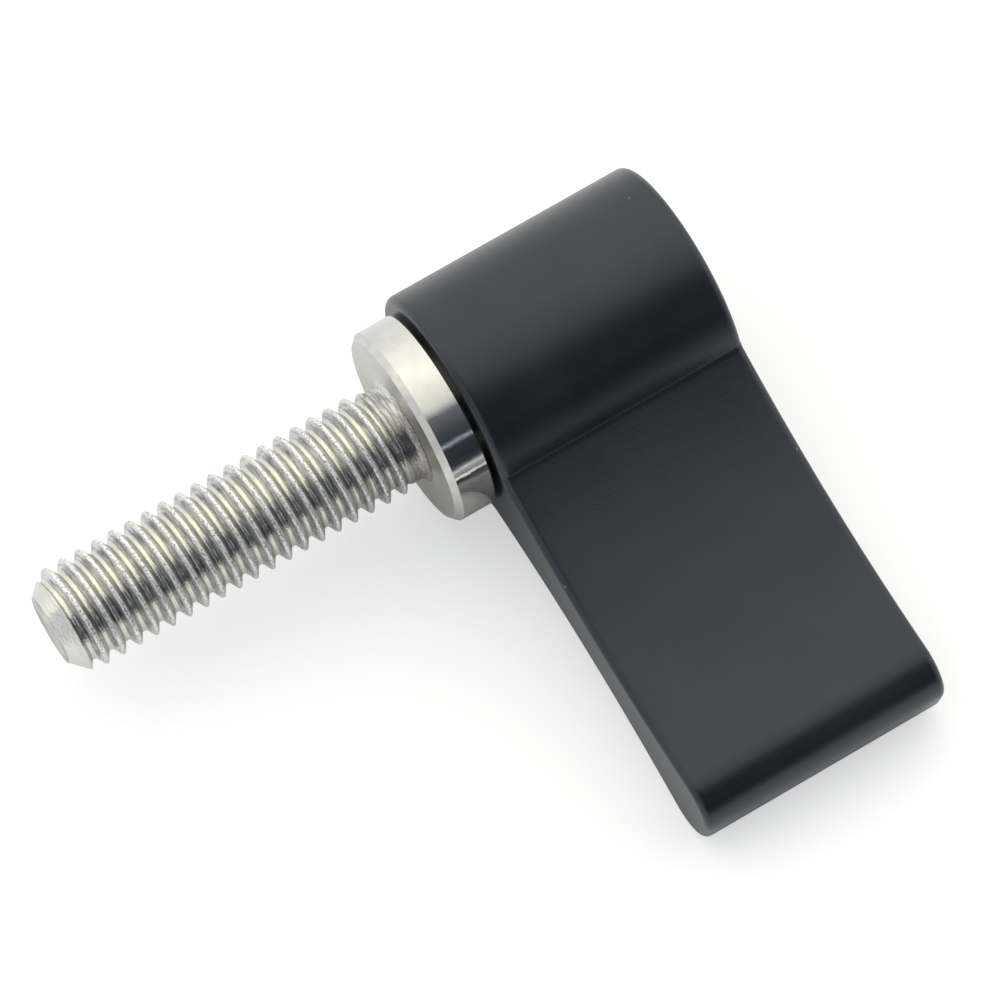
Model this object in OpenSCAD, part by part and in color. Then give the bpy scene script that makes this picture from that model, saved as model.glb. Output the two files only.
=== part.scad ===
// Thumb screw with a short lever handle.
// The screw's axis lies along X with its tip at -X, and +Z is up.
// The origin is on that axis, in the plane of the collar's front face.
// The part lies as it comes to rest: the barrel's underside and the lever's nose are at one height.

/* [Thread] */
// Outer diameter of the thread
thread_d = 6; // [5:0.1:8]
// Distance from one crest of the thread to the next
pitch = 1; // [0.75:0.05:1.25]
// Length from the collar's front face to the tip
screw_l = 21.3; // [16:0.1:40]
// Diameter of the flat face at the tip
tip_d = 3.9; // [3:0.1:4.2]
// Length of the chamfer at the tip
tip_chamfer = 1.1; // [0.5:0.1:1.5]
// Depth of the bare neck between thread and collar, below the thread's outside
neck_depth = 0.3; // [0.1:0.05:0.7]
// Length of the neck
neck_l = 1; // [0.6:0.1:1.5]
// How far the neck's cone at the collar stands outside the thread's diameter, on each side
neck_flare = 0.05; // [0:0.05:0.3]

/* [Collar] */
// Diameter of the collar
collar_d = 11.2; // [10:0.2:12.4]
// Thickness of the collar
collar_l = 2.3; // [1.5:0.1:4]
// Bevel on the collar's front rim
collar_bevel = 0.35; // [0.1:0.05:0.4]
// Bevel on the collar's rear rim
collar_rear_bevel = 0.08; // [0.04:0.02:0.2]

/* [Handle] */
// Diameter of the round barrel
barrel_d = 12.8; // [12:0.2:16]
// Width of the barrel and the lever, along the screw's axis
handle_w = 14.65; // [13:0.05:24]
// Gap between the collar and the handle
handle_gap = 0.25; // [0.1:0.05:1]
// Reach of the lever, from the screw's axis to the end of its nose
lever_l = 26.45; // [24:0.05:40]
// Thickness of the lever at its thinnest place
waist_t = 4; // [3.5:0.1:5]
// Distance from the screw's axis to the thinnest place
waist_at = 15.6; // [14:0.1:18]
// Thickness of the blunt nose at the lever's end
nose_t = 5.7; // [5.4:0.1:7]
// Radius of the nose's two round corners
nose_corner = 2.2; // [1.8:0.1:2.6]
// Radius of the round corner between the barrel and the lever
root_fillet = 0.6; // [0.3:0.1:1]
// Radius of the round edges of both ends
edge_r = 0.45; // [0.2:0.05:0.8]

/* [Seat] */
// Diameter of the screw's shank inside the handle
spigot_d = 7; // [6:0.2:8]
// Depth to which the shank is set into the handle
spigot_l = 11; // [6:0.5:12]
// Free space round the shank in its bore
seat_clearance = 0.01; // [0:0.01:0.05]

/* [Hidden] */
$fn = 180;
thread_r = thread_d / 2;
neck_r = thread_r - neck_depth;
flare_r = thread_r + neck_flare;
collar_r = collar_d / 2;
barrel_r = barrel_d / 2;
spigot_r = spigot_d / 2;
handle_x = collar_l + handle_gap;
bore_r = spigot_r + seat_clearance;
// The thread has the standard 60 degree form: its crest is an eighth of the pitch wide and its
// root a quarter. The groove is cut along a helix of flat steps.
flank_angle = 30;
crest_w = pitch / 8;
root_w = pitch / 4;
groove_depth = (pitch - crest_w - root_w) / 2 / tan(flank_angle);
turn_steps = 24;
// How far outside the thread the cut begins, so that its flat steps stay clear of the crests
cut_rise = 0.08 * pitch;
// How far past the origin the groove's middle crosses the XY plane on the +Y side
groove_at = 0.413 * pitch;
turns = ceil(screw_l / pitch) + 1;
last_step = round((turns - (groove_at + neck_l) / pitch) * turn_steps);
// Centre of the nose's upper corner; the lower one is its mirror image
nose_c = [lever_l - nose_corner, nose_t / 2 - nose_corner];
// The lever slopes down until its nose is as low as the barrel.
lever_slope = asin((barrel_r - nose_corner) / norm(nose_c)) - atan2(nose_c.y, nose_c.x);
// Each hollow face is an arc that runs into the nose. It meets the nose this little below its surface.
nose_dip = 0.02;
nose_run = nose_c.x - waist_at;
nose_rise = nose_c.y - waist_t / 2;
inner_corner = nose_corner - nose_dip;
face_r = (nose_run * nose_run + nose_rise * nose_rise - inner_corner * inner_corner)
    / (inner_corner + nose_rise) / 2;
face_c = [waist_at, waist_t / 2 + face_r];
fillet_c = meeting(barrel_r + root_fillet, face_c, face_r - root_fillet);
fillet_dip = 0.01;
// The nose's flat front lies this little below the round corners' outermost lines
front_dip = 0.01;
// Flat steps that make up a round edge
edge_steps = 6;
// Extra length that carries a cut past the surface it starts from
over = 1;

// The crossing of a circle round the screw's axis with one round c, on the side of the lever's end
function meeting(r, c, rc) =
    let (d = norm(c), u = c / d)
    let (along = (d * d + r * r - rc * rc) / (2 * d))
    along * u + sqrt(r * r - along * along) * [u.y, -u.x];

// Point k of the round edge between a wall of radius r and the end plane, with side -1 for metal
// inside the radius and 1 for metal outside it
function edge_point(r, side, k) =
    let (a = 90 * k / edge_steps)
    [r + side * edge_r * (1 - cos(a)), edge_r * (1 - sin(a))];

// The same point at the handle's other end
function far_edge_point(r, side, k) =
    let (p = edge_point(r, side, k))
    [p.x, handle_w - p.y];

// Profile of a wall of radius r over the handle's width, with a round edge at both ends
function wall(r, side) = concat(
    [for (k = [edge_steps : -1 : 0]) edge_point(r, side, k)],
    [for (k = [0 : edge_steps]) far_edge_point(r, side, k)]
);

// Section of a solid that reaches from the middle out to such a wall
function filled_wall(r) = concat([[0, 0]], wall(r, -1), [[0, handle_w]]);

// The groove's section at step k of the helix, four points round the cut. Over the last turn
// before the neck it rises out of the metal.
function groove_section(k) =
    let (x = groove_at - pitch * turns + pitch * k / turn_steps, a = 360 * k / turn_steps)
    let (rise = max(0, (k - last_step) / turn_steps + 1) * (groove_depth + cut_rise / 2))
    let (root_r = thread_r - groove_depth + rise, top_r = thread_r + cut_rise + rise)
    let (root = root_w / 2, top = (pitch - crest_w) / 2 + cut_rise * tan(flank_angle))
    [
        for (p = [[-top, top_r], [-root, root_r], [root, root_r], [top, top_r]])
            [x + p.x, p.y * cos(a), p.y * sin(a)]
    ];

// A round bar as wide as the handle, with round edges
module round_bar(r) {
    rotate_extrude() polygon(filled_wall(r));
}

// What is cut away in front of a hollow wall of radius r, with its round edges
module hollow_cut(r) {
    last = edge_point(r, 1, edge_steps);
    past = last + (last - edge_point(r, 1, edge_steps - 1)) / 2;
    rotate_extrude()
        polygon(concat(
            [[0, past.y], past],
            wall(r, 1),
            [[past.x, handle_w - past.y], [0, handle_w - past.y]]
        ));
}

// The flat part of the lever between the barrel and the nose
module lever_web() {
    web_end = face_c + (nose_c - face_c) * face_r / (face_r + nose_corner);
    difference() {
        translate([0, -nose_t / 2 - over, 0]) cube([web_end.x, nose_t + 2 * over, handle_w]);
        translate(face_c) hollow_cut(face_r);
        mirror([0, 1, 0]) translate(face_c) hollow_cut(face_r);
    }
}

// The blunt nose: two round corners with a flat front between them
module nose() {
    translate(nose_c) round_bar(nose_corner);
    translate([nose_c.x, -nose_c.y]) round_bar(nose_corner);
    translate(nose_c)
        rotate([90, 0, 0])
            linear_extrude(2 * nose_c.y)
                polygon(filled_wall(nose_corner - front_dip));
}

// The round corner between the barrel and one face of the lever
module root_corner() {
    to_face = (fillet_c - face_c) / norm(fillet_c - face_c);
    foot = fillet_c + to_face * (root_fillet + edge_r + over / 2);
    difference() {
        linear_extrude(handle_w)
            polygon([fillet_c, fillet_c * (barrel_r - edge_r - over) / norm(fillet_c), foot]);
        translate(fillet_c) hollow_cut(root_fillet + fillet_dip);
    }
}

module handle() {
    color([0.07, 0.08, 0.1])
        translate([handle_x, 0, 0])
            rotate([lever_slope - 90, 0, 0])
                rotate([0, 90, 0])
                    difference() {
                        union() {
                            round_bar(barrel_r);
                            nose();
                            lever_web();
                            root_corner();
                            mirror([0, 1, 0]) root_corner();
                        }
                        translate([0, 0, -over]) cylinder(r = bore_r, h = spigot_l + over);
                    }
}

// The helical cut between the thread's crests
module thread_groove() {
    points = [for (k = [0 : last_step]) each groove_section(k)];
    sides = [
        for (k = [0 : last_step - 1], i = [0 : 3])
            let (a = 4 * k + i, b = 4 * k + (i + 1) % 4)
            each [[a, a + 4, b + 4], [a, b + 4, b]]
    ];
    end = 4 * last_step;
    polyhedron(points, concat([[0, 1, 2, 3]], sides, [[end + 3, end + 2, end + 1, end]]));
}

// The screw as it is turned, before its thread is cut
module turned_blank() {
    rotate([0, 90, 0])
        rotate_extrude()
            polygon([
                [0, -screw_l],
                [tip_d / 2, -screw_l],
                [thread_r, -screw_l + tip_chamfer],
                [thread_r, -neck_l],
                [neck_r, -neck_l],
                [neck_r, neck_r - flare_r],
                [flare_r, 0],
                [collar_r - collar_bevel, 0],
                [collar_r, collar_bevel],
                [collar_r, collar_l - collar_rear_bevel],
                [collar_r - collar_rear_bevel, collar_l],
                [spigot_r, collar_l],
                [spigot_r, handle_x + spigot_l],
                [0, handle_x + spigot_l],
            ]);
}

module screw() {
    color([0.8, 0.8, 0.78])
        difference() {
            turned_blank();
            thread_groove();
        }
}

handle();
screw();
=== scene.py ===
# %% [markdown]
# # A clamping thumb screw
#
# A plated steel screw with a thread and a round collar is turned by a black cast handle.
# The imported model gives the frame: the screw's axis is X, its tip points to -X, the lever to -Y.
# Blender works in metres here. Sizes are written in millimetres, as a maker would read them off
# a drawing, and are multiplied by MM where a mesh or a material takes them.

# %% The frame
import math
import bmesh
import bpy
import numpy as np
from mathutils import Matrix, Vector
from mathutils.geometry import tessellate_polygon


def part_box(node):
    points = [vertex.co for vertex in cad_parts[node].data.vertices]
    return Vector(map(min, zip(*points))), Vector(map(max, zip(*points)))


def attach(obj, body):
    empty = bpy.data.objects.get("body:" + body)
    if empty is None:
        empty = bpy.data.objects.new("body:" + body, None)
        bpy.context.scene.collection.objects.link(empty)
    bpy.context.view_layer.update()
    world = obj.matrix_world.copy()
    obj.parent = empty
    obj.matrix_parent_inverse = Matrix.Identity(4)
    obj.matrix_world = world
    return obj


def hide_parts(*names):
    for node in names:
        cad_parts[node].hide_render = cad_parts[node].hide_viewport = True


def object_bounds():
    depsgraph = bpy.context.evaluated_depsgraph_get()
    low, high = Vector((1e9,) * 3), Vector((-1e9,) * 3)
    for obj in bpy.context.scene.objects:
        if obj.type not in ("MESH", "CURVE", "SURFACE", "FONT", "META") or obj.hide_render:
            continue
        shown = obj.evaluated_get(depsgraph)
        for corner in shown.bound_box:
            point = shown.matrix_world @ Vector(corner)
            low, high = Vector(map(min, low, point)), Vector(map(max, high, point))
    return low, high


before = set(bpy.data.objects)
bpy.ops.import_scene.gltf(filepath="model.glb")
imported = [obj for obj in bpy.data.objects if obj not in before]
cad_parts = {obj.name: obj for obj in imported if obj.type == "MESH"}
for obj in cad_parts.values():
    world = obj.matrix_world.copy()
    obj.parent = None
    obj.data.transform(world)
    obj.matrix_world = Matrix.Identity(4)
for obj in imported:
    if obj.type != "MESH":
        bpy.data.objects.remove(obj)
CAD_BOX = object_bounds()
MM = 0.001
print("nodes:", sorted(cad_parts))

# %% Sizes of the screw, in millimetres
THREAD_R = 3.0
PITCH = 1.0
THREAD_DEPTH = 0.56
# Where crests cross the XY plane on the +Y side, give or take whole pitches
CREST_AT = -0.087
TIP_R = 1.95
NECK_R = 2.7
NECK_L = 1.0
FLARE_R = 3.05
COLLAR_R = 5.6
COLLAR_L = 2.3
FRONT_BEVEL = 0.35
REAR_BEVEL = 0.08
SPIGOT_R = 3.5
TIP_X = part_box("screw")[0][0] / MM
SPIGOT_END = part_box("screw")[1][0] / MM
print(f"the screw runs from {TIP_X:.2f} to {SPIGOT_END:.2f} mm")

# %% Sizes of the handle, in millimetres
HANDLE_X0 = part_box("handle")[0][0] / MM
HANDLE_X1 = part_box("handle")[1][0] / MM
BARREL_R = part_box("handle")[1][2] / MM
LEVER_L = 26.45
WAIST_T = 4.0
WAIST_AT = 15.6
NOSE_T = 5.7
NOSE_CORNER = 2.2
ROOT_FILLET = 0.6
EDGE_R = 0.45
SEAT_SPACE = 0.01
BORE_R = SPIGOT_R + SEAT_SPACE
NOSE_C = np.array([LEVER_L - NOSE_CORNER, NOSE_T / 2 - NOSE_CORNER])
# The lever slopes down until its nose is as low as the barrel
DROP = math.asin((BARREL_R - NOSE_CORNER) / np.linalg.norm(NOSE_C))
SLOPE = DROP - math.atan2(NOSE_C[1], NOSE_C[0])
print(f"the lever slopes down by {math.degrees(SLOPE):.1f} degrees")

# %% [markdown]
# ## The camera
#
# The photograph looks down on the screw from its tip's side through a long lens, so the object
# shows little perspective. A camera can be aimed with a Track To constraint, but its roll is then
# out of reach, so the three directions of its view are worked out from angles instead. The camera
# is set first, because the rest is judged through it.

# %% Camera
# Angles in degrees, lengths in millimetres
AZIMUTH = -31.31
ELEVATION = 69.84
ROLL = 0.02
DISTANCE = 382.3
AIM = (5.078, -3.65)
# Focal length and picture width in pixels, and the sensor's width
FOCAL_PX = 7312.0
IMAGE_PX = 1000.0
SENSOR = 36.0
# Nearest and farthest distance that the camera sees, in metres
NEAR = 0.01
FAR = 10.0


def aim_camera():
    """Puts the camera on the line of sight: back = (sin a cos e, -cos a cos e, sin e).

    It looks past the origin by AIM, measured to the right and up in the picture.
    """
    a, e, roll = (math.radians(v) for v in (AZIMUTH, ELEVATION, ROLL))
    back = Vector((math.sin(a) * math.cos(e), -math.cos(a) * math.cos(e), math.sin(e)))
    level = Vector((math.cos(a), math.sin(a), 0.0))
    rise = back.cross(level)
    right = math.cos(roll) * level + math.sin(roll) * rise
    up = -math.sin(roll) * level + math.cos(roll) * rise
    place = (AIM[0] * right + AIM[1] * up + DISTANCE * back) * MM
    camera = bpy.data.objects.new("camera", bpy.data.cameras.new("camera"))
    bpy.context.collection.objects.link(camera)
    turn = Matrix((right, up, back)).transposed().to_4x4()
    camera.matrix_world = Matrix.Translation(place) @ turn
    camera.data.sensor_width = SENSOR
    camera.data.lens = FOCAL_PX * SENSOR / IMAGE_PX
    camera.data.clip_start = NEAR
    camera.data.clip_end = FAR
    bpy.context.scene.camera = camera
    return camera


camera = aim_camera()
print("camera at", [round(v, 3) for v in camera.location])

# %% [markdown]
# ## Meshes from arrays
#
# Each surface is a grid of points, one row per station and one column per step round it. Its faces
# join neighbours in the grid. Several grids that share their border points become one closed mesh
# when the doubled points are merged. Primitives with a boolean would give the same solid, but not
# the even rows that smooth shading needs beside a bevel.

# %% Grid helpers
# Points this close together become one, in millimetres
MERGE = 0.002
# Faces that meet at more than this angle, in degrees, keep a hard edge between them
SHARP_ABOVE = 38.0


def grid_faces(rows, columns, first):
    """Quads of a grid with that many points each way, whose points start at the number first."""
    i, j = np.meshgrid(np.arange(rows - 1), np.arange(columns - 1), indexing="ij")
    corner = (first + i * columns + j).ravel()
    return np.stack([corner, corner + 1, corner + columns + 1, corner + columns], axis=1)


def join_grids(grids):
    """Puts several grids into one list of points and one list of faces."""
    points, faces, first = [], [], 0
    for grid in grids:
        rows, columns = grid.shape[:2]
        points.append(grid.reshape(-1, 3))
        faces.append(grid_faces(rows, columns, first))
        first += rows * columns
    return np.concatenate(points), np.concatenate(faces)


def add_piece(name, points, faces):
    """Makes one closed mesh in metres from points in millimetres, and merges doubled points."""
    mesh = bpy.data.meshes.new(name)
    mesh.from_pydata((points * MM).tolist(), [], [list(f) for f in faces])
    work = bmesh.new()
    work.from_mesh(mesh)
    bmesh.ops.remove_doubles(work, verts=work.verts, dist=MERGE * MM)
    bmesh.ops.dissolve_degenerate(work, edges=work.edges, dist=MERGE * MM / 10)
    bmesh.ops.recalc_face_normals(work, faces=work.faces)
    work.to_mesh(mesh)
    work.free()
    mesh.shade_smooth()
    mesh.set_sharp_from_angle(angle=math.radians(SHARP_ABOVE))
    piece = bpy.data.objects.new(name, mesh)
    bpy.context.collection.objects.link(piece)
    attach(piece, "root")
    print(f"{name}: {len(mesh.vertices)} points, {len(mesh.polygons)} faces")
    return piece


# %% [markdown]
# ## The thread
#
# The real thread is rolled: a hard die presses a 60 degree groove into the blank and pushes the
# crests up. A Screw modifier would carry a profile along the helix too, but would leave its two
# ends open. Here the grid's rows follow the helix, so every crest and root runs along a row. The
# radius at a point depends only on how far it lies along the axis from the crest. Rows that pass
# an end of the thread are laid flat on that end, and merging closes them up.

# %% Thread surface
ROWS_PER_TURN = 28
COLUMNS = 120
# Half the width of a crest, which is an eighth of the pitch wide
HALF_CREST = PITCH / 16
# Drop of a flank for each millimetre along the axis: the cotangent of 30 degrees
FLANK = math.sqrt(3.0)
# Over how much the corners of crest and root are rounded, and how far under THREAD_R the crests
# are flattened
ROUNDING = 0.05
CREST_DROP = 0.01
# How far before the tip the helix starts, so that the tip's edge is covered all the way round
LEAD_IN = 1.0
# Where the thread's grid ends on the neck
THREAD_END = 0.4 - NECK_L
# The groove fades out over this length, towards this place
RUN_OUT = 0.6
RUN_OUT_AT = -0.85


def soft_max(a, b, width):
    """The larger of two values, with the corner between them rounded over that width."""
    return 0.5 * (a + b + np.sqrt((a - b) ** 2 + width ** 2))


def thread_radius(along):
    """Radius of the full thread at a distance along the axis from a crest's middle."""
    off = np.abs((along / PITCH + 0.5) % 1.0 - 0.5) * PITCH
    flank = THREAD_R + (HALF_CREST - off) * FLANK
    root = soft_max(flank, THREAD_R - THREAD_DEPTH, ROUNDING)
    return -soft_max(-root, -THREAD_R + CREST_DROP, ROUNDING)


def smooth_step(x):
    """Runs smoothly from 0 to 1 as x does."""
    x = np.clip(x, 0.0, 1.0)
    return x * x * (3.0 - 2.0 * x)


def thread_points():
    """Grid of the thread: x = turn * pitch + pitch * angle / full turn, radius from the groove.

    The radius is held under the tip's chamfer, which climbs as fast as it runs along the axis.
    """
    turns = math.ceil(-TIP_X / PITCH) + 2
    row = np.arange(turns * ROWS_PER_TURN + 1)[:, None] / ROWS_PER_TURN
    column = np.arange(COLUMNS + 1)[None, :] / COLUMNS
    x = TIP_X - LEAD_IN + (row + column) * PITCH
    cut = np.clip(x, TIP_X, THREAD_END)
    full = thread_radius(TIP_X - LEAD_IN + row * PITCH - CREST_AT + 0.0 * column)
    fade = smooth_step((RUN_OUT_AT - cut) / RUN_OUT)
    radius = NECK_R + (full - NECK_R) * fade
    radius = np.minimum(radius, TIP_R + (cut - TIP_X))
    angle = 2.0 * math.pi * column + 0.0 * row
    return np.stack([cut, radius * np.cos(angle), radius * np.sin(angle)], axis=-1)


thread = thread_points()
print("thread grid:", thread.shape)

# %% [markdown]
# ## The turned parts
#
# Tip face, neck, collar and shank are turned on a lathe, and are made the same way: a profile is
# carried once round the axis. A cylinder with a Bevel modifier could be the collar, but one profile
# keeps neck, collar and shank in one surface. A second row of points stands close beside each
# bevel as a holding row, which keeps smooth shading off the flat face next to it.

# %% Turned profiles
# Distance between an edge and the row of points that stands beside it, in millimetres
BESIDE = 0.03
TIP_RINGS = (0.0, 0.6, 1.2, 1.6, TIP_R)
# A point half way up the neck's flare, and rings in the middle of the collar's face and side
FLARE_MIDDLE = (-0.12, 2.86)
FACE_RING = 4.2
SIDE_RING = 1.2


def turned(profile):
    """Carries (x, radius) points round the X axis: y = r cos angle, z = r sin angle."""
    x, r = np.array(profile).T[:, :, None]
    angle = 2.0 * math.pi * np.arange(COLUMNS + 1) / COLUMNS
    return np.stack(np.broadcast_arrays(x, r * np.cos(angle), r * np.sin(angle)), axis=-1)


tip = turned([(TIP_X, r) for r in TIP_RINGS])
shank = turned([
    (THREAD_END, NECK_R),
    (NECK_R - FLARE_R, NECK_R),
    FLARE_MIDDLE,
    (0.0, FLARE_R),
    (0.0, FACE_RING),
    (0.0, COLLAR_R - FRONT_BEVEL - BESIDE),
    (0.0, COLLAR_R - FRONT_BEVEL),
    (FRONT_BEVEL, COLLAR_R),
    (FRONT_BEVEL + BESIDE, COLLAR_R),
    (SIDE_RING, COLLAR_R),
    (COLLAR_L - REAR_BEVEL - BESIDE, COLLAR_R),
    (COLLAR_L - REAR_BEVEL, COLLAR_R),
    (COLLAR_L, COLLAR_R - REAR_BEVEL),
    (COLLAR_L, COLLAR_R - REAR_BEVEL - BESIDE),
    (COLLAR_L, SPIGOT_R),
    (SPIGOT_END, SPIGOT_R),
    (SPIGOT_END, 0.0),
])


screw = add_piece("plated_screw", *join_grids([tip, thread, shank]))
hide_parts("screw")

# %% [markdown]
# ## The handle
#
# The handle is one casting. Its outline is a chain of arcs: the round barrel, a small corner, a
# hollow face, the round nose, and the same again on the other side. An extruded curve with a
# bevel comes close, but its bevel grows outwards. Here each point of the outline has its own
# normal, and the outline is drawn in along them as it nears either end, which rounds the edge by
# the same radius everywhere.

# %% Outline of the handle
# Points on each arc, and how far up the nose's flat front its points lie
NOSE_STEPS = 24
FACE_STEPS = 60
FILLET_STEPS = 8
BARREL_STEPS = 72
FRONT_POINTS = (0.0, 0.25, 0.5)
# The hollow face is an arc that is thinnest at the waist and touches the nose's corner
FACE_RUN = NOSE_C[0] - WAIST_AT
NOSE_RISE = NOSE_C[1] - WAIST_T / 2
FACE_R = (FACE_RUN ** 2 + NOSE_RISE ** 2 - NOSE_CORNER ** 2) / (NOSE_CORNER + NOSE_RISE) / 2
FACE_C = np.array([WAIST_AT, WAIST_T / 2 + FACE_R])


def meeting(r, centre, rc):
    """Where a circle round the axis meets one round centre, on the side of the lever's end."""
    d = np.linalg.norm(centre)
    u = centre / d
    along = (d * d + r * r - rc * rc) / (2 * d)
    return along * u + math.sqrt(r * r - along * along) * np.array([u[1], -u[0]])


FILLET_C = meeting(BARREL_R + ROOT_FILLET, FACE_C, FACE_R - ROOT_FILLET)


def heading(a, b):
    """Direction from one point to another, as an angle."""
    return math.atan2(b[1] - a[1], b[0] - a[0])


def arc(centre, radius, start, end, steps, hollow=False):
    """Points of an arc with their outward normals, as rows of x, y, normal x, normal y."""
    angle = np.linspace(start, end, steps, endpoint=False)
    normal = np.stack([np.cos(angle), np.sin(angle)], axis=1)
    return np.hstack([np.array(centre) + radius * normal, -normal if hollow else normal])


def handle_outline():
    """The closed chain of arcs, in the lever's own plane, from the nose's middle and back.

    The lower half mirrors the upper one: y and the normal's y change sign.
    """
    at_root = heading((0, 0), FILLET_C)
    nose_turn = heading(NOSE_C, FACE_C)
    face_from = heading(FACE_C, NOSE_C)
    face_to = heading(FACE_C, FILLET_C)
    upper = np.vstack([
        [[LEVER_L, q, 1.0, 0.0] for q in FRONT_POINTS],
        arc(NOSE_C, NOSE_CORNER, 0.0, nose_turn, NOSE_STEPS),
        arc(FACE_C, FACE_R, face_from, face_to, FACE_STEPS, hollow=True),
        arc(FILLET_C, ROOT_FILLET, face_to + 2 * math.pi, at_root + math.pi, FILLET_STEPS, hollow=True),
        arc((0, 0), BARREL_R, at_root, math.pi, BARREL_STEPS),
        [[-BARREL_R, 0.0, -1.0, 0.0]]])
    lower = upper[1:-1][::-1] * [1, -1, 1, -1]
    return np.vstack([upper, lower])


outline = handle_outline()
print("outline points:", len(outline))

# %% Surface of the handle
EDGE_STEPS = 8
WIDTH_STEPS = 12
BORE_COLUMNS = 96


def place(p, q, x):
    """Turns lever coordinates (along, across) at a station x into the object's own frame."""
    y = -math.cos(SLOPE) * p - math.sin(SLOPE) * q
    z = -math.sin(SLOPE) * p + math.cos(SLOPE) * q
    return np.stack(np.broadcast_arrays(x, y, z), axis=-1)


def handle_wall():
    """Rows across the width: station x and how far the outline is drawn in by the round edge."""
    turn = np.linspace(math.pi / 2, 0.0, EDGE_STEPS + 1)
    x_edge = HANDLE_X0 + EDGE_R * (1 - np.sin(turn))
    inset = EDGE_R * (1 - np.cos(turn))
    x_edge = np.append(HANDLE_X0, x_edge)
    inset = np.append(EDGE_R + BESIDE, inset)
    middle = np.linspace(HANDLE_X0 + EDGE_R, HANDLE_X1 - EDGE_R, WIDTH_STEPS + 1)[1:-1]
    x = np.concatenate([x_edge, middle, (HANDLE_X0 + HANDLE_X1 - x_edge)[::-1]])
    inset = np.concatenate([inset, 0 * middle, inset[::-1]])
    ring = np.vstack([outline, outline[:1]])
    p = ring[None, :, 0] - inset[:, None] * ring[None, :, 2]
    q = ring[None, :, 1] - inset[:, None] * ring[None, :, 3]
    return place(p, q, x[:, None])


def bore_wall():
    """The blind bore in the near end: a tube and its round floor."""
    angle = 2 * math.pi * np.arange(BORE_COLUMNS + 1) / BORE_COLUMNS
    x = np.array([HANDLE_X0, SPIGOT_END, SPIGOT_END])
    r = np.array([BORE_R, BORE_R, 0.0])
    return place(r[:, None] * np.cos(angle), r[:, None] * np.sin(angle), x[:, None])


def cap(points, *rings):
    """Triangles that fill a flat end between its outer ring and any hole, by point number."""
    loops = [[Vector(p) for p in points[ring]] for ring in rings]
    return np.concatenate(rings)[np.array(tessellate_polygon(loops))].tolist()


wall, bore = handle_wall(), bore_wall()
points, faces = join_grids([wall, bore])
wall_rows, wall_columns = wall.shape[:2]
near = np.arange(len(outline))
far = (wall_rows - 1) * wall_columns + near
hole = wall_rows * wall_columns + np.arange(BORE_COLUMNS)
ends = cap(points, near, hole) + cap(points, far)
handle = add_piece("lever_handle", points, faces.tolist() + ends)
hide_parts("handle")

# %% [markdown]
# ## Plated steel
#
# The screw is bright zinc plate on steel. The plate is mirror smooth on the collar's turned side,
# finely ringed on the faces, and streaked on the thread, where the rolling die has dragged the
# metal. A scratch texture could be painted for each, but would need an unwrapped mesh. A metal's
# look is nearly all reflection: its base colour tints what it mirrors, its roughness blurs it, and
# a bump bends it. So noise in those three is enough, and it reads Object coordinates, so that it
# stays on the metal from any side.

# %% Node helpers


def new_material(name):
    """A new node material and its Principled shader."""
    material = bpy.data.materials.new(name)
    material.use_nodes = True
    return material, material.node_tree.nodes["Principled BSDF"]


def find_input(node, key):
    """An input by its name, or by its place for a key such as i0 or i6."""
    by_place = key[0] == "i" and key[1:].isdigit()
    return node.inputs[int(key[1:]) if by_place else key]


def add_node(tree, kind, settings=None, **sockets):
    """Adds a node, sets its settings, and links its inputs or gives them a value."""
    made = tree.nodes.new(kind)
    for key, value in (settings or {}).items():
        setattr(made, key, value)
    for key, value in sockets.items():
        socket = find_input(made, key)
        if isinstance(value, bpy.types.NodeSocket):
            tree.links.new(value, socket)
        else:
            socket.default_value = value
    return made


def calc(tree, operation, a, b=0.0, c=0.0):
    """A Math node's result."""
    return add_node(tree, "ShaderNodeMath", {"operation": operation}, i0=a, i1=b, i2=c).outputs[0]


def object_point(tree):
    """Object coordinates: the vector, and its x, y and z."""
    vector = add_node(tree, "ShaderNodeTexCoord").outputs["Object"]
    parts = add_node(tree, "ShaderNodeSeparateXYZ", i0=vector).outputs
    return vector, parts[0], parts[1], parts[2]


def axis_distance(tree, y, z):
    """Distance from the screw's axis: the root of y squared plus z squared."""
    return calc(tree, "SQRT", calc(tree, "MULTIPLY_ADD", y, y, calc(tree, "MULTIPLY", z, z)))


# %% Pattern helpers
FINE = 2.0
CLOUDY = 3.0
GRAINY = 4.0


def noise(tree, vector, scale, detail=FINE):
    """Noise from 0 to 1, with a scale in cells per metre and a detail in octaves."""
    made = add_node(tree, "ShaderNodeTexNoise", Vector=vector, Scale=scale, Detail=detail)
    return made.outputs["Fac"]


def to_range(tree, value, low, high, from_low=0.0, from_high=1.0):
    """Maps a value from one range to another, and stops at its ends."""
    return add_node(tree, "ShaderNodeMapRange", i0=value, i1=from_low, i2=from_high,
                    i3=low, i4=high).outputs[0]


def blend_colour(tree, factor, a, b):
    """Mixes two colours."""
    made = add_node(tree, "ShaderNodeMix", {"data_type": "RGBA"}, i0=factor, i6=a, i7=b)
    return made.outputs[2]


def bump(tree, height, depth):
    """A bump normal from a height of 0 to 1, whose full depth is given in millimetres."""
    made = add_node(tree, "ShaderNodeBump", Height=height, Distance=depth * MM)
    return made.outputs["Normal"]


# Where the clouds of colour and of roughness begin and end, in the noise's values
COLOUR_CLOUDS = (0.35, 0.7)
ROUGH_CLOUDS = (0.3, 0.7)
# Cells per metre of the noise that frays a spot's edge, and where that edge ends, in sizes
FRAY = 6500.0
FRAY_OUT = 1.3


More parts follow.
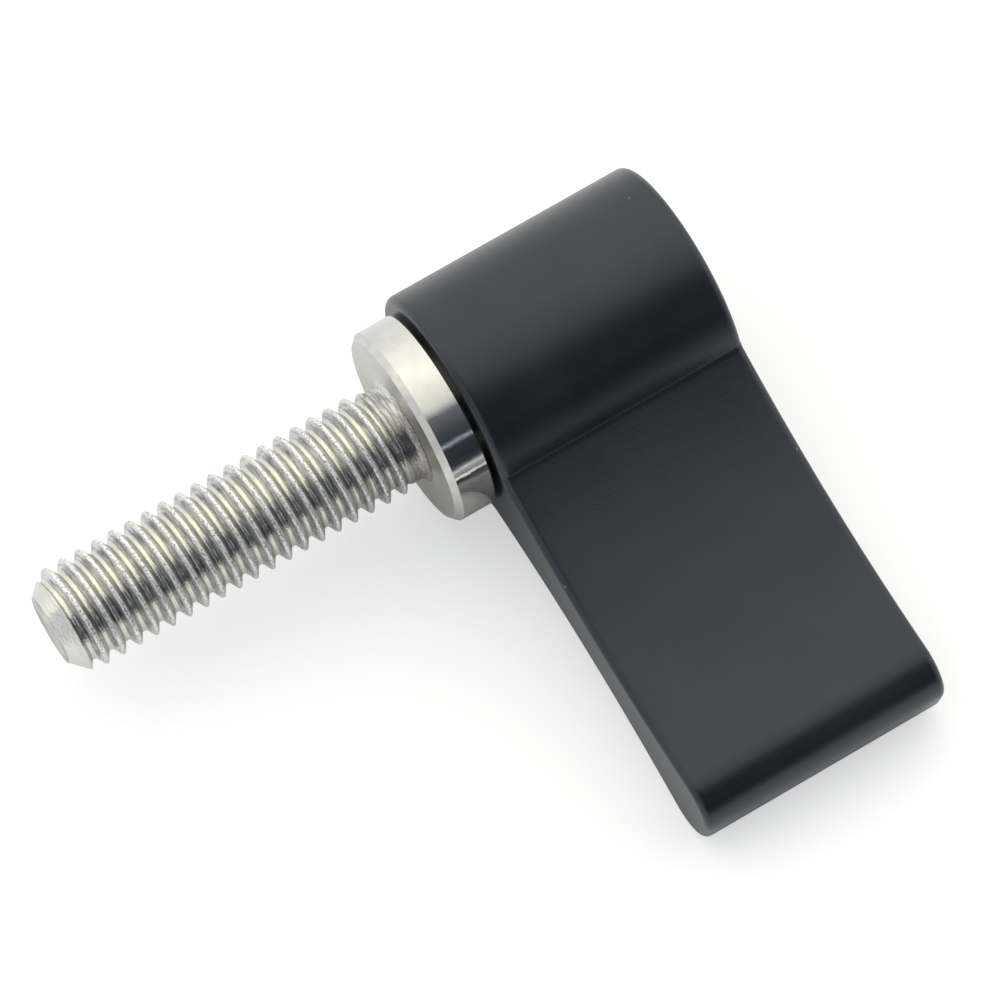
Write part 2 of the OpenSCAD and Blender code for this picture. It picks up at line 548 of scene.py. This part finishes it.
def spot(tree, vector, at, size, base, colour):
    """A base colour with a ragged spot on it: the distance to its point, moved a little by noise."""
    point = [v * MM for v in at]
    size = size * MM
    off = add_node(tree, "ShaderNodeVectorMath", {"operation": "DISTANCE"}, i0=vector, i1=point)
    ragged = calc(tree, "MULTIPLY_ADD", noise(tree, vector, FRAY), size, off.outputs["Value"])
    inside = to_range(tree, ragged, 1.0, 0.0, size, FRAY_OUT * size)
    return blend_colour(tree, inside, base, colour)


# %% [markdown]
# One recipe serves all the turned surfaces, with other numbers for each: clouds of a duller metal,
# a roughness that follows the clouds, a fine grain, and rings where a lathe tool has faced the
# metal. The roughness of a smooth surface stays on one side of about 0.27, because the renderer's
# denoiser treats a surface above that as matt and below it as a mirror, and a range that crosses
# it leaves contour lines.

# %% Turned steel
STEEL = (0.62, 0.615, 0.59, 1.0)
STEEL_DULL = (0.54, 0.535, 0.515, 1.0)
STEEL_GREY = (0.3, 0.3, 0.295, 1.0)
SPECK = (0.36, 0.36, 0.35, 1.0)
# A small dark mark on the tip's face: its place and its size, in millimetres
TIP_MARK = (TIP_X, -1.05, 1.5)
TIP_MARK_SIZE = 0.2
# Share of the grain in the height where there are rings
GRAIN_SHARE = 0.5


def steel_finish(name, rough, grain, depth, rings=0.0, dull=STEEL_DULL, clouds=700.0):
    """Plated steel, with grain, rings and clouds in cells per metre and a depth in millimetres."""
    material, shader = new_material(name)
    tree = material.node_tree
    vector, _, y, z = object_point(tree)
    cloud = noise(tree, vector, clouds, CLOUDY)
    metal = blend_colour(tree, to_range(tree, cloud, 0.0, 1.0, *COLOUR_CLOUDS), dull, STEEL)
    metal = spot(tree, vector, TIP_MARK, TIP_MARK_SIZE, metal, SPECK)
    blur = to_range(tree, cloud, rough[1], rough[0], *ROUGH_CLOUDS)
    height = noise(tree, vector, grain, GRAINY)
    if rings:
        radius = add_node(tree, "ShaderNodeCombineXYZ", i0=axis_distance(tree, y, z)).outputs[0]
        height = calc(tree, "MULTIPLY_ADD", height, GRAIN_SHARE, noise(tree, radius, rings))
    shader.inputs["Metallic"].default_value = 1.0
    tree.links.new(metal, shader.inputs["Base Color"])
    tree.links.new(blur, shader.inputs["Roughness"])
    tree.links.new(bump(tree, height, depth), shader.inputs["Normal"])
    return material


finishes = {
    "turned": steel_finish(
        "turned_steel", rough=(0.28, 0.38), grain=3500.0, depth=0.01, rings=9000.0, dull=STEEL),
    "mirror": steel_finish(
        "mirror_steel", rough=(0.04, 0.1), grain=550.0, depth=0.02),
    "rim": steel_finish(
        "rim_steel", rough=(0.28, 0.38), grain=3000.0, depth=0.012, clouds=1500.0),
    "tip": steel_finish(
        "tip_steel", rough=(0.3, 0.45), grain=2500.0, depth=0.02, rings=6000.0, dull=STEEL_GREY),
}
print("turned finishes:", ", ".join(finishes))

# %% [markdown]
# The thread is rolled and not turned, so it has a recipe of its own. Vertex colours would need a
# vertex for each speck. Instead, how far a point is from the axis says whether it is on a root, a
# flank or a crest, and each has its own colour: the roots are clean and warm, the flanks grey and
# streaked and painted darker, as painted shade in the grooves, the crests bright with dark specks.

# %% Rolled steel
ROOT = (0.62, 0.61, 0.55, 1.0)
# Dark streaks of the flanks: partly real streaks, partly painted shade in the grooves
FLANK_DARK_AND_SHADE = (0.28, 0.285, 0.29, 1.0)
FLANK_LIGHT = (0.64, 0.64, 0.64, 1.0)
CREST = (0.8, 0.8, 0.78, 1.0)
# A stain on the neck, darkened further as painted shade by the collar and away from the light
NECK_STAIN_AND_SHADE = (0.25, 0.235, 0.2, 1.0)
# Cells per metre of the streaks and of the specks
STREAKS = 7500.0
SPECKS = 9000.0
# Length that one radian of the helix counts for in the streaks, in millimetres. It is far less
# than the real length, which draws the streaks out.
DRAWN_OUT = 0.4
# Radii between which a root becomes a flank, and a flank becomes a crest
ROOT_TO_FLANK = (2.46 * MM, 2.56 * MM)
FLANK_TO_CREST = (2.78 * MM, 2.9 * MM)
# Share of the specks in the height, on a flank and what a crest adds
FLANK_GRAIN = 0.3
CREST_GRAIN = 0.4
ROLLED_DEPTH = 0.045
FLANK_ROUGH = 0.22
CREST_ROUGH = 0.42
# Values of the noise between which a streak turns light, and a speck and the neck's stain and
# painted shade fade
STREAK_LIGHT = (0.36, 0.6)
SPECK_FADES = (0.39, 0.48)
STAIN_AND_SHADE_FADES = (0.4, 0.6)
# The tip's chamfer is mostly plain steel, a share that fades out between these places
CHAMFER_SHARE = 0.85
CHAMFER_FADES = ((TIP_X + 0.7) * MM, (TIP_X + 1.1) * MM)
# The neck's stain and painted shade start along the axis here, and thin out across it, towards
# +Y, the side the light comes from
STAIN_AND_SHADE_SHARE = 0.9
STAIN_AND_SHADE_STARTS = (-1.5 * MM, -1.0 * MM)
STAIN_AND_SHADE_THIN = 0.25
STAIN_AND_SHADE_THINS = (-1.0 * MM, 1.5 * MM)
# What is left of the stain and painted shade between its patches
STAIN_AND_SHADE_BETWEEN = 0.6


def rolled_colour(tree, x, radius, streak, speck, crest):
    """Metal of the thread by radius: streaked flanks, then roots, crests, specks and chamfer.

    The flanks' dark streaks are partly real streaks and partly painted shade in the grooves.
    """
    light = to_range(tree, streak, 0.0, 1.0, *STREAK_LIGHT)
    metal = blend_colour(tree, light, FLANK_DARK_AND_SHADE, FLANK_LIGHT)
    metal = blend_colour(tree, to_range(tree, radius, 1.0, 0.0, *ROOT_TO_FLANK), metal, ROOT)
    metal = blend_colour(tree, crest, metal, CREST)
    dots = calc(tree, "MULTIPLY", to_range(tree, speck, 1.0, 0.0, *SPECK_FADES), crest)
    metal = blend_colour(tree, dots, metal, SPECK)
    chamfer = to_range(tree, x, CHAMFER_SHARE, 0.0, *CHAMFER_FADES)
    return blend_colour(tree, chamfer, metal, STEEL)


def neck_stain_and_shade(tree, x, y, speck):
    """How much stain and painted shade the neck has: a share along the axis, times one across it,
    times the specks.
    """
    along = to_range(tree, x, 0.0, STAIN_AND_SHADE_SHARE, *STAIN_AND_SHADE_STARTS)
    across = to_range(tree, y, 1.0, STAIN_AND_SHADE_THIN, *STAIN_AND_SHADE_THINS)
    patchy = to_range(tree, speck, 1.0, STAIN_AND_SHADE_BETWEEN, *STAIN_AND_SHADE_FADES)
    return calc(tree, "MULTIPLY", calc(tree, "MULTIPLY", along, across), patchy)


def rolled_finish():
    """Thread: its streaks follow the helix, its crests are the rougher and grainier part.

    The streaks' noise reads the distance from the crest, x + pitch * angle / full turn, and a
    short length along the helix, so it is drawn out the way the die has dragged the metal.
    """
    material, shader = new_material("thread_steel")
    tree = material.node_tree
    vector, x, y, z = object_point(tree)
    radius = axis_distance(tree, y, z)
    angle = calc(tree, "ARCTAN2", y, z)
    off_crest = calc(tree, "MULTIPLY_ADD", angle, PITCH * MM / (2.0 * math.pi), x)
    along = calc(tree, "MULTIPLY", angle, DRAWN_OUT * MM)
    helix = add_node(tree, "ShaderNodeCombineXYZ", i0=off_crest, i1=along, i2=radius).outputs[0]
    streak = noise(tree, helix, STREAKS)
    speck = noise(tree, vector, SPECKS)
    crest = to_range(tree, radius, 0.0, 1.0, *FLANK_TO_CREST)
    grain = calc(tree, "MULTIPLY", speck, calc(tree, "MULTIPLY_ADD", crest, CREST_GRAIN, FLANK_GRAIN))
    metal = rolled_colour(tree, x, radius, streak, speck, crest)
    # A stain and painted shade darken the neck by the collar, most on the side away from the light
    metal = blend_colour(tree, neck_stain_and_shade(tree, x, y, speck), metal, NECK_STAIN_AND_SHADE)
    blur = to_range(tree, crest, FLANK_ROUGH, CREST_ROUGH)
    height = calc(tree, "ADD", streak, grain)
    shader.inputs["Metallic"].default_value = 1.0
    tree.links.new(metal, shader.inputs["Base Color"])
    tree.links.new(blur, shader.inputs["Roughness"])
    tree.links.new(bump(tree, height, ROLLED_DEPTH), shader.inputs["Normal"])
    return material


finishes = {"thread": rolled_finish(), **finishes}
print("finishes of the screw:", ", ".join(finishes))

# %% [markdown]
# The faces are sorted into the five finishes by where they lie and which way they look: the thread
# ahead of the collar, the flat faces that look along the axis, the collar's polished side, its
# bevels, and the rough face at the tip. Separate objects for each would leave open seams.

# %% Sort the screw's faces
# A face looks along the axis when its normal's share along it is above the first value, and away
# from the axis when it is below the second
ALONG_AXIS = 0.99
AWAY_FROM_AXIS = 0.3
TIP_SLICE = 0.1
order = list(finishes)
mesh = screw.data
centre = np.empty(len(mesh.polygons) * 3)
mesh.polygons.foreach_get("center", centre)
normal = np.empty(len(mesh.polygons) * 3)
mesh.polygons.foreach_get("normal", normal)
centre, normal = centre.reshape(-1, 3) / MM, normal.reshape(-1, 3)
station, lean = centre[:, 0], np.abs(normal[:, 0])
on_thread = (station < 0.0) & (lean < ALONG_AXIS)
tip_face = (station < TIP_X + TIP_SLICE) & ~on_thread
collar_side = (station > 0.0) & (lean < AWAY_FROM_AXIS)
bevel = (station > 0.0) & ~collar_side & (lean < ALONG_AXIS)
zone = np.select(
    [on_thread, tip_face, bevel, collar_side],
    [order.index(name) for name in ("thread", "tip", "rim", "mirror")],
    default=order.index("turned")).astype(np.int32)
for material in finishes.values():
    mesh.materials.append(material)
mesh.polygons.foreach_set("material_index", zone)
print("faces with each finish:", dict(zip(order, np.bincount(zone).tolist())))

# %% [markdown]
# ## Black coat
#
# The casting has a satin black coat: a blue-black paint whose very fine grain spreads the
# reflections. It could be a mid grey that is matt all over, but nearly all its brightness is
# reflected light, so a dark colour with the right roughness looks truer and turns with the light.
# Clouds in the roughness keep it from looking like plastic. Where the coat is nicked, small spots
# show lighter.

# %% Coat finish
COAT = (0.008, 0.01, 0.016, 1.0)
COAT_WORN = (0.013, 0.015, 0.021, 1.0)
COAT_TINT = (0.85, 0.93, 1.0, 1.0)
BARE = (0.16, 0.16, 0.16, 1.0)
# Clouds and grain in cells per metre, and the grain's depth in millimetres
COAT_CLOUDS = 260.0
COAT_GRAIN = 6500.0
COAT_DEPTH = 0.005
COAT_ROUGH = (0.28, 0.31)
# The place and the size of each nick, in millimetres
NICKS = [
    (2.65, -11.9, 0.27, 0.1),
    (16.95, -11.72, 0.43, 0.08),
    (17.15, 3.37, 5.14, 0.1),
    (15.7, 3.11, 5.59, 0.06),
]


def coat_finish():
    """Satin paint: nearly even colour, a cloudy roughness, a fine grain and a few nicks."""
    material, shader = new_material("satin_black_coat")
    tree = material.node_tree
    vector = object_point(tree)[0]
    cloud = noise(tree, vector, COAT_CLOUDS, CLOUDY)
    coat = blend_colour(tree, to_range(tree, cloud, 0.0, 1.0, *COLOUR_CLOUDS), COAT, COAT_WORN)
    for *at, size in NICKS:
        coat = spot(tree, vector, at, size, coat, BARE)
    blur = to_range(tree, cloud, *COAT_ROUGH, *ROUGH_CLOUDS)
    grain = noise(tree, vector, COAT_GRAIN)
    tree.links.new(coat, shader.inputs["Base Color"])
    tree.links.new(blur, shader.inputs["Roughness"])
    tree.links.new(bump(tree, grain, COAT_DEPTH), shader.inputs["Normal"])
    shader.inputs["Specular Tint"].default_value = COAT_TINT
    return material


handle.data.materials.append(coat_finish())
print("finish of the handle:", handle.data.materials[0].name)

# %% [markdown]
# ## The studio
#
# A wide soft light stands behind the object and reaches over it. The front of the room is dark
# apart from two narrow strips, which gives the polished collar its dark bands and leaves the near
# side of the handle black. Area lamps could do this, but each leaves a hard edged shape in the
# collar. So the world itself is painted, by one angle that runs from front to back under the
# floor, and from back to front over the top. To the left and right the front is pale.

# %% World
# Direction of the back of the room, in degrees from +Y towards +X
BACK_AZIMUTH = 18.0
# Places on the way round: 0 and 1 are the horizon in front, 0.5 is the one behind, 0.75 the top
LIGHT_STOPS = [
    (0.0, (0.6, 0.62, 0.64)),
    (0.02, (0.3, 0.31, 0.32)),
    (0.03, (0.1, 0.11, 0.12)),
    (0.2, (0.2, 0.2, 0.2)),
    (0.4, (1.1, 1.1, 1.06)),
    (0.5, (1.2, 1.2, 1.14)),
    (0.58, (1.5, 1.5, 1.38)),
    (0.66, (1.8, 1.79, 1.63)),
    (0.73, (1.4, 1.4, 1.28)),
    (0.775, (1.1, 1.1, 1.04)),
    (0.805, (0.2, 0.22, 0.25)),
    (0.86, (0.08, 0.095, 0.115)),
    (0.888, (0.06, 0.07, 0.09)),
    (0.898, (0.5, 0.54, 0.66)),
    (0.908, (0.05, 0.055, 0.07)),
    (0.955, (0.035, 0.045, 0.06)),
    (0.975, (0.05, 0.06, 0.07)),
    (0.985, (0.15, 0.16, 0.17)),
    (0.993, (0.6, 0.62, 0.64)),
    (1.0, (1.0, 1.0, 1.0)),
]
SIDE_LIGHT = (0.95, 0.96, 1.0, 1.0)
# The side light fades in over these shares of a direction's length that lie along X
SIDE_FADES = (0.5, 0.62)
# It fades in from the top of the room to this angle on the front side, in radians
FRONT_FADES = (math.pi / 2, 2.0)
BACKDROP = (1.0, 1.0, 1.0, 1.0)


def light_world():
    """Colour by angle = arc tangent of height over distance to the back, mapped from 0 to 1.

    A new ramp has a stop at 0 and one at 1, so only those between are added. Where the camera
    looks past the object it sees a plain pale backdrop instead.
    """
    world = bpy.data.worlds.new("studio")
    bpy.context.scene.world = world
    world.use_nodes = True
    tree = world.node_tree
    direction = add_node(tree, "ShaderNodeTexCoord").outputs["Generated"]
    sideways, _, height = add_node(tree, "ShaderNodeSeparateXYZ", i0=direction).outputs
    turn = math.radians(BACK_AZIMUTH)
    to_back = (math.sin(turn), math.cos(turn), 0.0)
    behind = add_node(tree, "ShaderNodeVectorMath", {"operation": "DOT_PRODUCT"},
                      i0=direction, i1=to_back).outputs["Value"]
    angle = calc(tree, "ARCTAN2", height, behind)
    way_round = to_range(tree, angle, 0.0, 1.0, -math.pi, math.pi)
    ramp = add_node(tree, "ShaderNodeValToRGB", i0=way_round)
    stops = ramp.color_ramp.elements
    for at, _ in LIGHT_STOPS[1:-1]:
        stops.new(at)
    for stop, (_, colour) in zip(stops, LIGHT_STOPS):
        stop.color = (*colour, 1.0)
    in_front = to_range(tree, angle, 0.0, 1.0, *FRONT_FADES)
    at_side = to_range(tree, calc(tree, "ABSOLUTE", sideways), 0.0, 1.0, *SIDE_FADES)
    share = calc(tree, "MULTIPLY", in_front, at_side)
    colour = blend_colour(tree, share, ramp.outputs["Color"], SIDE_LIGHT)
    looked_at = add_node(tree, "ShaderNodeLightPath").outputs["Is Camera Ray"]
    colour = blend_colour(tree, looked_at, colour, BACKDROP)
    tree.links.new(colour, tree.nodes["Background"].inputs["Color"])
    print("world painted with", len(stops), "stops")


light_world()

# %% [markdown]
# The floor is a sheet of pale paper that takes the object's soft shadow. It ends a short way off,
# and the backdrop past it is as pale, so its edge hardly shows. More lamps would make the paper
# white, but would wash out the object. Instead it has a glow that only camera rays and mirrored
# rays meet, which lifts it towards white and sheds no light on anything matt.

# %% Floor
FLOOR_REACH = 80 * MM
FLOOR_COLOUR = (0.62, 0.625, 0.64, 1.0)
FLOOR_GLOW = 0.5
GLOW_COLOUR = (1.0, 1.0, 1.0, 1.0)
# How far off the object still dims the glow that polished metal mirrors
SHADE_REACH = 16 * MM


def make_floor():
    """A pale sheet of paper under the object, a little lifted towards white where it is looked at.

    The lift that polished metal mirrors is multiplied by open air squared, where open air falls
    from 1 towards 0 as the object stands closer over the sheet.
    """
    low = CAD_BOX[0][2]
    mesh = bpy.data.meshes.new("floor")
    corners = np.array([(-1, -1), (1, -1), (1, 1), (-1, 1)]) * FLOOR_REACH
    mesh.from_pydata([(x, y, low) for x, y in corners.tolist()], [], [(0, 1, 2, 3)])
    floor = bpy.data.objects.new("floor", mesh)
    bpy.context.collection.objects.link(floor)
    material, shader = new_material("paper")
    tree = material.node_tree
    ray = add_node(tree, "ShaderNodeLightPath").outputs
    mirrored = calc(tree, "MAXIMUM", ray["Is Glossy Ray"], ray["Is Transmission Ray"])
    open_air = add_node(tree, "ShaderNodeAmbientOcclusion", Distance=SHADE_REACH).outputs["AO"]
    open_air = calc(tree, "MULTIPLY", open_air, open_air)
    seen = calc(tree, "MAXIMUM", ray["Is Camera Ray"], calc(tree, "MULTIPLY", mirrored, open_air))
    shader.inputs["Base Color"].default_value = FLOOR_COLOUR
    shader.inputs["Roughness"].default_value = 1.0
    shader.inputs["Specular IOR Level"].default_value = 0.0
    shader.inputs["Emission Color"].default_value = GLOW_COLOUR
    tree.links.new(calc(tree, "MULTIPLY", seen, FLOOR_GLOW), shader.inputs["Emission Strength"])
    mesh.materials.append(material)
    print(f"floor at {low / MM:.2f} mm")


make_floor()
bpy.context.scene.view_settings.view_transform = "Standard"
